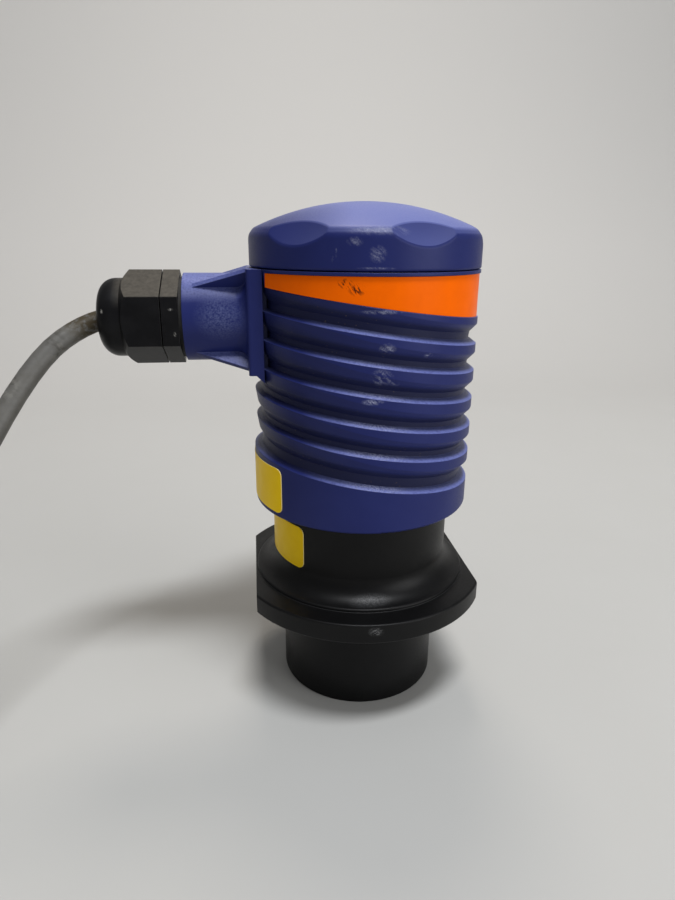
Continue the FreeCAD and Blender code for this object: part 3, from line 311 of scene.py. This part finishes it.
def housing_moulding():
    """Blue polyester housing: painted shade and brown dirt in the grooves, chalky speckled rib edges with
    painted top light that give way to painted shade near the entry plate, and a coarser grain on the boss."""
    finish = Finish("blue_polyester_housing", ior=1.5, specular_ior_level=0.2)
    # Painted shade near the entry plate: 0 close to it, 1 clear of it.
    clear_of_painted_shade = finish.distance(*PAST_PAINTED_PLATE_SHADE)
    chalk_and_top_light_masks = (finish.upward(0.4, 0.88), clear_of_painted_shade, finish.patches(0.6, 0.05, 0.55))
    tone, grain = blue_moulding(finish, chalk_and_top_light_masks, HOUSING_RUBS, 0.9)
    groove = finish.distance(*IN_GROOVE)
    wall = finish.distance(*OUTSIDE_BORE)
    crumbs = finish.patches(0.7, 0.7, 0.74, detail=2.0)
    handled = finish.spots(HANDLED_FRONT, 0.2)
    speckle = finish.patches(0.4, 0.42, 0.66)
    eroded = finish.spots(ERODED_BOSS, 0.3)
    tone = finish.coats(
        tone,
        # Painted shade down in the grooves, kept out of the bore; the brown crumbs on the next line are dirt.
        (0.6, linear("#15161f"), groove, wall),
        (0.45, linear("#6f6049"), groove, wall, crumbs),
        (0.34, linear("#c3c6de"), handled, finish.upward(0.3, 0.6), speckle),
        (0.24, linear("#8f9ac8"), eroded, finish.patches(0.5)))
    return finish.cover(tone, (grain, 0.36, 0.48), (grain, 0.03, 0.35))


def cap_moulding():
    """Blue polyester screw cap: chalky with painted top light on its crown, and less of it near the entry
    plate, where painted shade holds it back.
    """
    finish = Finish("blue_polyester_cap", ior=1.5, specular_ior_level=0.2)
    # Painted shade on the cap's side towards the entry plate: 0 close to it, 1 clear of it.
    clear_of_painted_shade = finish.distance(*PAST_PAINTED_CAP_SHADE)
    tone, grain = blue_moulding(finish, (finish.upward(0.45, 0.97), clear_of_painted_shade), CAP_RUBS_AND_CROWN_HIGHLIGHT, 0.45)
    return finish.cover(tone, (grain, 0.36, 0.46), (grain, 0.02, 0.3))


def black_moulding():
    """Black glass-filled polyester with a satin tool finish: even and nearly clean, with pale rubs, edges
    painted pale partly as highlight, and a painted highlight on the shoulder.
    """
    finish = Finish("black_polyester_moulding", ior=1.5, specular_ior_level=0.18)
    grain = finish.patches(0.5, detail=2.0)
    grit = finish.patches(0.3, 0.4, 0.62, detail=4.0)
    smears = finish.patches(0.5, 0.3, 0.6, detail=4.0, lie=FLANGE_STROKES)
    edges = finish.worn_and_highlit_edges(0.4)
    tone = finish.coats(
        colours().transducer_black,
        (0.3, linear("#151516"), finish.patches(8.0, 0.35, 0.75)),
        # Edges painted pale: partly wear, partly painted highlight.
        (0.25, linear("#6a6b6d"), edges),
        (0.75, linear("#a2a3a5"), finish.spots(FLANGE_RUBS, 0.0), smears, grit),
        # Pale rubs and a painted highlight where the shoulder looks up.
        (0.4, linear("#8d8e91"), finish.spots(SHOULDER_RUBS_AND_HIGHLIGHT, 0.1), finish.upward(0.3, 0.7), grit))
    return finish.cover(tone, (grain, 0.36, 0.46), (grain, 0.02, 0.25))


def orange_film():
    """Dyed polyester film: smooth, even and with little gloss, with a few dark scratches."""
    finish = Finish("orange_polyester_film", ior=1.5, specular_ior_level=0.04)
    strokes = finish.patches(0.45, 0.5, 0.57, detail=2.0, lie=BAND_STROKES)
    wave = finish.patches(4.0)
    tone = finish.coats(
        colours().band_orange,
        (0.3, linear("#ea5f03"), wave),
        (0.9, linear("#3d1d10"), finish.spots(BAND_SCRATCHES), strokes),
        (0.5, linear("#8f4312"), finish.patches(1.4, 0.74, 0.8, detail=4.0)))
    return finish.cover(tone, (wave, 0.3, 0.38), (wave, 0.02, 0.2))


def yellow_label():
    """Bare vinyl label with its cut edge painted pale as a highlight: a soft sheen and a little grime."""
    finish = Finish("yellow_vinyl_label", ior=1.48, specular_ior_level=0.12)
    wave = finish.patches(4.0)
    outward = add(finish.tree, "VectorMath", {0: finish.place, 1: ACROSS}, operation="MULTIPLY")
    outward = add(finish.tree, "VectorMath", {0: outward}, operation="NORMALIZE")
    flat = add(finish.tree, "VectorMath", {0: outward, 1: finish.facing}, out="Value",
               operation="DOT_PRODUCT")
    cut_edge_highlight = add(finish.tree, "MapRange", {"Value": flat, "From Min": 0.9, "From Max": 0.5})
    tone = finish.coats(
        colours().label_yellow,
        (0.3, linear("#f4c409"), wave),
        (0.08, colours().dust_brown, finish.patches(1.1, 0.6, 0.8, detail=5.0)),
        # Painted highlight along the label's cut edge.
        (0.8, linear("#f3e3a4"), cut_edge_highlight))
    return finish.cover(tone, (wave, 0.34, 0.44), (finish.patches(0.6), 0.02, 0.2))


def gland_polyamide():
    """Black moulded polyamide: a soft sheen, an even brown dust on what looks up, edges painted pale partly
    as wear and partly as highlight, and a few pale chips.
    """
    finish = Finish("black_polyamide_gland", ior=1.53, specular_ior_level=0.1)
    dust = finish.upward(0.3, 0.75)
    settled = finish.patches(1.2, -0.3, 0.7, detail=4.0)
    hexagons = finish.distance(*ON_HEXAGONS)
    edges = finish.worn_and_highlit_edges(0.3)
    tone = finish.coats(
        colours().gland_black,
        (0.25, linear("#262628"), finish.patches(5.0, 0.35, 0.7)),
        (0.36, colours().dust_brown, dust, settled, hexagons),
        # Edges painted pale: partly wear, partly painted highlight.
        (0.2, linear("#5b5853"), edges),
        (0.45, linear("#c8c6c0"), finish.spots(GLAND_CHIPS), finish.patches(0.4, 0.4, 0.6)))
    return finish.cover(tone, (dust, 0.32, 0.5), (finish.patches(2.5), 0.05, 0.25))


def sheath():
    """Extruded grey polyvinyl chloride: dull, with painted shade along the creases where it bends, and brown
    dirt by the gland.
    """
    finish = Finish("grey_vinyl_sheath", ior=1.53, specular_ior_level=0.3)
    handled = finish.patches(1.8, 0.42, 0.75, detail=5.0)
    dirt = finish.spots(SHEATH_DIRT, 0.6)
    crease = finish.spots(SHEATH_CREASES)
    ridges = finish.patches(1.6, 0.5, 0.6, detail=2.0, lie=SHEATH_FOLDS)
    tone = finish.coats(
        colours().cable_grey,
        (0.4, linear("#6c6a65"), finish.patches(7.0, 0.4, 0.7)),
        (0.35, linear("#48453f"), handled),
        # Painted shade along the creases in dark strokes, with pale flecks on them.
        (0.7, linear("#34312b"), crease, ridges),
        (0.35, linear("#8f8d86"), crease, finish.patches(2.2, 0.55, 0.65)),
        (0.95, linear("#3c3320"), dirt, finish.patches(1.3, 0.36, 0.52)))
    return finish.cover(tone, (handled, 0.45, 0.6), (finish.patches(1.4), 0.06, 0.3))


def plain_finish(name, code, worn_code, size, roughness, metallic):
    """Everyday inner material: two tones in patches of a size in millimetres and a matching relief."""
    finish = Finish(name, metallic=metallic)
    wave = finish.patches(size, detail=4.0)
    tone = finish.coats(linear(code), (1.0, linear(worn_code), wave))
    return finish.cover(tone, (wave, roughness, roughness + 0.12), (wave, 0.03, 0.4))


def core_insulation():
    """Two thin vinyl-covered cores, one red and one black, told apart by the side they lie on."""
    finish = Finish("vinyl_core_insulation")
    low, high = (Vector(corner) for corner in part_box("far_cores"))
    across = add(finish.tree, "SeparateXYZ", {0: finish.place}, out="X")
    middle = (low.x + high.x) / 2
    blur = 0.1 * MM
    side = add(finish.tree, "MapRange",
               {"Value": across, "From Min": middle - blur, "From Max": middle + blur})
    wave = finish.patches(0.9, 0.35, 0.65)
    tone = finish.coats(linear("#a3191c"), (1.0, linear("#191a1c"), side), (0.3, linear("#5d4440"), wave))
    return finish.cover(tone, (wave, 0.36, 0.46), (wave, 0.02, 0.3))


# Inner pieces: node, material, colours, patch size in millimetres, roughness, metallic
INNER_PIECES = [
    ("gland_washer", "nitrile_washer", "#131313", "#262524", 0.8, 0.7, 0.0),
    ("gland_seal", "nitrile_seal", "#191817", "#2c2a28", 0.8, 0.72, 0.0),
    ("cap_oring", "nitrile_cap_ring", "#161616", "#242322", 0.5, 0.5, 0.0),
    ("neck_oring", "nitrile_neck_ring", "#161616", "#242322", 0.5, 0.5, 0.0),
    ("coil_tie", "black_polyamide_tie", "#141414", "#272727", 0.9, 0.45, 0.0),
    ("far_ferrules", "tinned_copper_ferrules", "#c9c8c2", "#a9a79f", 0.6, 0.32, 1.0),
    ("terminal_deck", "grey_moulded_deck", "#5f6266", "#6d7074", 1.0, 0.5, 0.0),
    ("deck_screws", "zinc_plated_screws", "#c4c3bd", "#a8a69c", 0.5, 0.3, 1.0),
    ("terminal_block", "green_polyamide_block", "#1f7a45", "#1a6a3c", 1.2, 0.45, 0.0),
    ("terminal_screws", "nickel_plated_screws", "#cfccc4", "#b3b0a6", 0.5, 0.28, 1.0),
    ("circuit_board", "green_glass_epoxy_board", "#0f4a2b", "#1b6a3f", 1.5, 0.35, 0.0),
    ("pulse_transformer", "ferrite_transformer", "#2b2a2a", "#4a3f2a", 2.0, 0.6, 0.0),
    ("controller_chip", "black_epoxy_package", "#17181a", "#232426", 0.4, 0.55, 0.0),
    ("capacitors", "sleeved_capacitors", "#22304d", "#2b3b5e", 1.5, 0.35, 0.0),
    ("board_connector", "white_polyamide_connector", "#dedbd0", "#cfcbbd", 1.0, 0.5, 0.0),
    ("transducer_lead", "grey_coaxial_lead", "#4a4b4d", "#5a5b5d", 0.8, 0.5, 0.0),
    ("probe_lead", "thin_white_lead", "#c8c5ba", "#b5b1a4", 0.6, 0.5, 0.0),
    ("matching_layer", "glass_bubble_foam", "#cfc8b4", "#b9b09a", 0.5, 0.7, 0.0),
    ("piezo_disc", "silvered_piezo_ceramic", "#b9b7b0", "#a19e95", 0.8, 0.4, 1.0),
    ("backing_plug", "filled_epoxy_backing", "#3b3833", "#4b4740", 0.7, 0.65, 0.0),
    ("potting", "grey_potting_compound", "#3a3c3e", "#464849", 3.0, 0.3, 0.0),
    ("temperature_probe", "epoxy_dipped_probe", "#1c1b1a", "#2e2b28", 0.6, 0.4, 0.0),
]


# Cable


# Free route in millimetres, from inside the gland down to the coil: it stays on the axis up to the nut's
# mouth, so that the nut can back off along it
CABLE_ROUTE = [
    (-57.4, 0.0, 125.2),
    (-66.0, 0.0, 125.2),
    (-81.5, 0.0, 125.2),
    (-97.4, -10.7, 113.8),
    (-117.3, -36.9, 73.5),
    (-120.0, -44.1, 47.6),
    (-137.0, -47.5, 23.5),
    (-159.5, -47.5, 5.0),
    (-184.0, -45.0, 3.3),
]
# Turns of the coil in winding order: column from the outside and row from the floor
COIL_TURNS = [(0, 0), (1, 0), (2, 0), (3, 0), (3, 1), (3, 2), (2, 2), (2, 1), (1, 1), (1, 2), (0, 2), (0, 1)]
# A turn takes one step less than the circle has, so that the changes from turn to turn lie apart
STEPS_PER_TURN = 15
STEP = math.radians(22.5)
# Share of the way to the next turn's place, on the last steps of a turn
TURN_EASE = {13: 0.18, 14: 0.72}
# The tie pulls the turns together on the far side: how far, and how sharply that fades round the coil
TIE_PULL = 0.14
TIE_FADE = 6
# Lengthwise place and height of the tail past the coil, in millimetres
TAIL_ROUTE = [(9.0, 9.0), (17.0, 8.2), (23.0, 3.2)]
# Head of the tie and the cut end of its strap: middle above the tie and size, in millimetres
TIE_BLOCKS = [
    ((0.0, 0.0, 1.6), (7.0, 7.0, 3.4)),
    ((0.0, 8.5, 2.2), (4.4, 11.0, 1.1)),
]


def coil_points():
    """Control points of the coil, in which each turn eases into the next."""
    low, high = (Vector(corner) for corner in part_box("cable_coil"))
    middle = (low + high) / 2
    thick = sizes().cable_diameter
    outside = (high.x - low.x) / 2
    # Largest reach of the curve from the middle, as a share of its control points' reach
    spread = 0.75 + 0.25 * math.cos(STEP)
    section = Vector((outside - 2 * thick, middle.z))
    slots = [Vector((outside - (column + 0.5) * thick, (row + 0.5) * thick)) for column, row in COIL_TURNS]
    points = []
    for index, slot in enumerate(slots):
        following = slots[min(index + 1, len(slots) - 1)]
        for step in range(STEPS_PER_TURN):
            turn = index * STEPS_PER_TURN + step
            at = slot.lerp(following, TURN_EASE.get(step, 0.0))
            angle = -math.pi / 2 - turn * STEP
            pull = max(0.0, math.sin(angle)) ** TIE_FADE
            at = at.lerp(section, TIE_PULL * pull)
            reach = at.x / spread
            points.append(Vector((middle.x + reach * math.cos(angle),
                                  middle.y + reach * math.sin(angle),
                                  at.y)))
    return points


def cable_points():
    """Control points of the whole cable."""
    low, high = (Vector(corner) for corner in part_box("cable_coil"))
    tail_low, tail_high = (Vector(corner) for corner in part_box("cable_tail"))
    tail_x = (tail_low.x + tail_high.x) / 2
    start = (low.y + high.y) / 2
    tail = [Vector((tail_x, start + along * MM, height * MM)) for along, height in TAIL_ROUTE]
    tail.append(Vector((tail_x, tail_high.y, tail_high.z - sizes().cable_diameter / 2)))
    return [Vector(point) * MM for point in CABLE_ROUTE] + coil_points()[1:] + tail


def tie_head():
    """Locking head of the cable tie, with the cut end of its strap."""
    low, high = (Vector(corner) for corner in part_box("coil_tie"))
    mesh = bmesh.new()
    middle = Vector(((low.x + high.x) / 2, (low.y + high.y) / 2, high.z))
    for offset, size in TIE_BLOCKS:
        place = Matrix.Translation(middle + Vector(offset) * MM)
        matrix = place @ Matrix.Diagonal((*(Vector(size) * MM), 1.0))
        bmesh.ops.create_cube(mesh, size=1.0, matrix=matrix)
    data = bpy.data.meshes.new("tie_head")
    mesh.to_mesh(data)
    mesh.free()
    piece = bpy.data.objects.new("tie_head", data)
    bpy.context.scene.collection.objects.link(piece)
    bevel = piece.modifiers.new("moulded_edges", "BEVEL")
    bevel.width = sizes().tie_rounding
    bevel.segments = 3
    return piece


# Thread


# Steps round a turn, steps over which the ridge fades out, and its section as shares of pitch and height
THREAD_STEPS = 64
THREAD_FADE = 12
THREAD_FOOT = 0.36
THREAD_CREST = 0.12
THREAD_SUNK = -0.1


def cap_thread(material):
    """Helical ridge round the spigot of the cap, that fades out at both ends."""
    pitch = sizes().cap_thread_pitch
    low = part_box("cap")[0][2]
    base = low + sizes().cap_thread_lead_in
    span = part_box("cap_oring")[0][2] - low - sizes().cap_thread_plain
    steps = int(THREAD_STEPS * span / pitch)
    vertices = []
    for step in range(steps + 1):
        angle = math.tau * step / THREAD_STEPS
        fade = min(1.0, step / THREAD_FADE, (steps - step) / THREAD_FADE)
        for shift, rise in ((-THREAD_FOOT, THREAD_SUNK), (-THREAD_CREST, fade),
                            (THREAD_CREST, fade), (THREAD_FOOT, THREAD_SUNK)):
            radius = sizes().cap_spigot_radius + rise * sizes().cap_thread_height
            level = base + pitch * (step / THREAD_STEPS + shift)
            vertices.append((radius * math.cos(angle), radius * math.sin(angle), level))
    faces = [(4 * step + side, 4 * step + side + 1, 4 * step + side + 5, 4 * step + side + 4)
             for step in range(steps) for side in range(3)]
    data = bpy.data.meshes.new("cap_thread")
    data.from_pydata(vertices, [], faces)
    data.shade_smooth()
    piece = bpy.data.objects.new("cap_thread", data)
    bpy.context.scene.collection.objects.link(piece)
    data.materials.append(material)
    return piece


# Stage


# Lamps: name, power, width, depth and place in metres, and colour
LAMPS = [
    ("front_lamp", "front_power", 0.45, 0.18, (0.10, -0.32, 1.16), "#fafcff"),
    ("back_lamp", "back_power", 0.3, 0.3, (0.02, 0.45, 1.15), "#fff4e6"),
    ("side_lamp", "side_power", 1.0, 1.0, (0.96, -0.80, 0.42), "#ffffff"),
]
LAMP_AIM = Vector((0.0, 0.0, 0.08))
ROOM_LIGHT = 0.26
# Camera: place in millimetres, its turns in degrees (right, down from level, and roll), and lens
CAMERA_PLACE = (-33.73, -196.11, 147.10)
CAMERA_TURNS = ((-7.51, "Z"), (90 - 18.46, "X"), (0.45, "Z"))
CAMERA_LENS = 24.95


def lay_floor(scene):
    """Floor that sweeps up into a paler backdrop, sized in metres."""
    half_width = 3.0
    front = -2.0
    back = 0.9
    bend = 0.5
    height = 2.4
    pale_from = 0.05
    pale_to = 0.75
    profile = [(front, 0.0), (back - bend, 0.0)]
    profile += [(back - bend + bend * math.sin(angle), bend - bend * math.cos(angle))
                for angle in (math.radians(step) for step in range(5, 90, 5))]
    profile += [(back, bend), (back, height)]
    vertices = [(side * half_width, y, z) for y, z in profile for side in (-1, 1)]
    faces = [(2 * row, 2 * row + 1, 2 * row + 3, 2 * row + 2) for row in range(len(profile) - 1)]
    data = bpy.data.meshes.new("floor")
    data.from_pydata(vertices, [], faces)
    data.shade_smooth()
    floor = bpy.data.objects.new("floor", data)
    scene.collection.objects.link(floor)
    finish = Finish("painted_sweep", specular_ior_level=0.1)
    wave = finish.patches(60.0, 0.2, 0.8)
    depth = add(finish.tree, "SeparateXYZ", {0: finish.place}, out="Y")
    behind = add(finish.tree, "MapRange", {"Value": depth, "From Min": pale_from, "From Max": pale_to})
    tone = finish.coats(
        colours().floor_grey,
        (0.5, linear("#b5b5b2"), wave),
        (1.0, linear("#cecdcb"), behind))
    data.materials.append(finish.cover(tone, (wave, 0.75, 0.85), (wave, 0.02, 0.1)))


def hang_lamps(scene):
    """Two ceiling lamps, a long one before and one behind the object, a wide soft lamp low at the right and a
    dim room."""
    for name, power, width, depth, place, code in LAMPS:
        data = bpy.data.lights.new(name, "AREA")
        data.shape = "ELLIPSE"
        data.size = width
        data.size_y = depth
        data.energy = getattr(sizes(), power)
        data.color = linear(code)
        lamp = bpy.data.objects.new(name, data)
        lamp.location = place
        aim = LAMP_AIM - lamp.location
        lamp.rotation_euler = aim.to_track_quat("-Z", "Y").to_euler()
        scene.collection.objects.link(lamp)
    world = bpy.data.worlds.new("dim_room")
    world.use_nodes = True
    ambient = world.node_tree.nodes["Background"]
    ambient.inputs["Color"].default_value = rgba(linear("#ffffff"))
    ambient.inputs["Strength"].default_value = ROOM_LIGHT
    scene.world = world


def place_camera(scene):
    """Camera at the photograph's place: turned right, tipped down and slightly rolled."""
    data = bpy.data.cameras.new("camera")
    data.lens = CAMERA_LENS
    data.sensor_width = 36.0
    data.clip_start = 0.01
    camera = bpy.data.objects.new("camera", data)
    matrix = Matrix.Translation(Vector(CAMERA_PLACE) * MM)
    for degrees, axis in CAMERA_TURNS:
        matrix = matrix @ Matrix.Rotation(math.radians(degrees), 4, axis)
    camera.matrix_world = matrix
    scene.collection.objects.link(camera)
    scene.camera = camera


# Operators


class DressHousing(bpy.types.Operator):
    """Finish the blue housing and the screw cap"""
    bl_idname = "transmitter.dress_housing"
    bl_label = "Housing and cap"

    def execute(self, context):
        dress("housing", housing_moulding())
        cap = cap_moulding()
        dress("cap", cap)
        piece = cap_thread(cap)
        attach(piece, "screw_cap")
        return {"FINISHED"}


class DressTransducer(bpy.types.Operator):
    """Finish the black transducer moulding"""
    bl_idname = "transmitter.dress_transducer"
    bl_label = "Transducer"

    def execute(self, context):
        dress("transducer_body", black_moulding())
        return {"FINISHED"}


class DressLabels(bpy.types.Operator):
    """Finish the orange band and the two bare labels"""
    bl_idname = "transmitter.dress_labels"
    bl_label = "Band and labels"

    def execute(self, context):
        dress("orange_band", orange_film())
        label = yellow_label()
        for node in ("collar_label", "neck_label"):
            dress(node, label)
        return {"FINISHED"}


class DressGland(bpy.types.Operator):
    """Finish the cable gland"""
    bl_idname = "transmitter.dress_gland"
    bl_label = "Cable gland"

    def execute(self, context):
        polyamide = gland_polyamide()
        for node in ("gland_body", "gland_dome_nut"):
            dress(node, polyamide)
        return {"FINISHED"}


class DressInside(bpy.types.Operator):
    """Finish the seals, the connection chamber, the electronics and the sensor stack"""
    bl_idname = "transmitter.dress_inside"
    bl_label = "Inner pieces"

    def execute(self, context):
        for node, name, code, worn, size, roughness, metallic in INNER_PIECES:
            dress(node, plain_finish(name, code, worn, size, roughness, metallic))
        insulation = core_insulation()
        for node in ("inner_cores", "far_cores"):
            dress(node, insulation)
        return {"FINISHED"}


class LayCable(bpy.types.Operator):
    """Lay the cable from the gland into its coil"""
    bl_idname = "transmitter.lay_cable"
    bl_label = "Cable"

    def execute(self, context):
        vinyl = sheath()
        dress("cable_inner", vinyl)
        curve = bpy.data.curves.new("cable_cord", "CURVE")
        curve.dimensions = "3D"
        curve.bevel_depth = sizes().cable_diameter / 2
        curve.bevel_resolution = 8
        curve.resolution_u = 6
        curve.use_fill_caps = True
        points = cable_points()
        spline = curve.splines.new("NURBS")
        spline.points.add(len(points) - 1)
        for control, point in zip(spline.points, points):
            control.co = (*point, 1.0)
        spline.order_u = 3
        spline.use_endpoint_u = True
        curve.materials.append(vinyl)
        cord = bpy.data.objects.new("cable_cord", curve)
        context.scene.collection.objects.link(cord)
        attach(cord, "base")
        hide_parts("cable", "cable_coil", "cable_tail")
        head = tie_head()
        head.data.materials.append(bpy.data.materials["black_polyamide_tie"])
        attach(head, "base")
        return {"FINISHED"}


class SetStage(bpy.types.Operator):
    """Set up the floor, the lamps and the camera"""
    bl_idname = "transmitter.set_stage"
    bl_label = "Stage"

    def execute(self, context):
        scene = context.scene
        scene.view_settings.view_transform = "Standard"
        lay_floor(scene)
        hang_lamps(scene)
        place_camera(scene)
        return {"FINISHED"}


# Add-on

OPERATORS = [SetStage, DressHousing, DressTransducer, DressLabels, DressGland, DressInside, LayCable]


class TransmitterPanel(bpy.types.Panel):
    """Colours, sizes and steps of the transmitter"""
    bl_idname = "VIEW3D_PT_transmitter"
    bl_label = "Level transmitter"
    bl_space_type = "VIEW_3D"
    bl_region_type = "UI"
    bl_category = "Transmitter"

    def draw(self, context):
        for group in (context.scene.transmitter_colours, context.scene.transmitter_sizes):
            for name in type(group).__annotations__:
                self.layout.prop(group, name)
        for operator in OPERATORS:
            self.layout.operator(operator.bl_idname)


CLASSES = [TransmitterColours, TransmitterSizes, *OPERATORS, TransmitterPanel]


def register():
    for item in CLASSES:
        bpy.utils.register_class(item)
    bpy.types.Scene.transmitter_colours = PointerProperty(type=TransmitterColours)
    bpy.types.Scene.transmitter_sizes = PointerProperty(type=TransmitterSizes)


def unregister():
    del bpy.types.Scene.transmitter_sizes
    del bpy.types.Scene.transmitter_colours
    for item in reversed(CLASSES):
        bpy.utils.unregister_class(item)


def main():
    register()
    for operator in OPERATORS:
        group, name = operator.bl_idname.split(".")
        getattr(getattr(bpy.ops, group), name)()


if __name__ == "__main__":
    main()
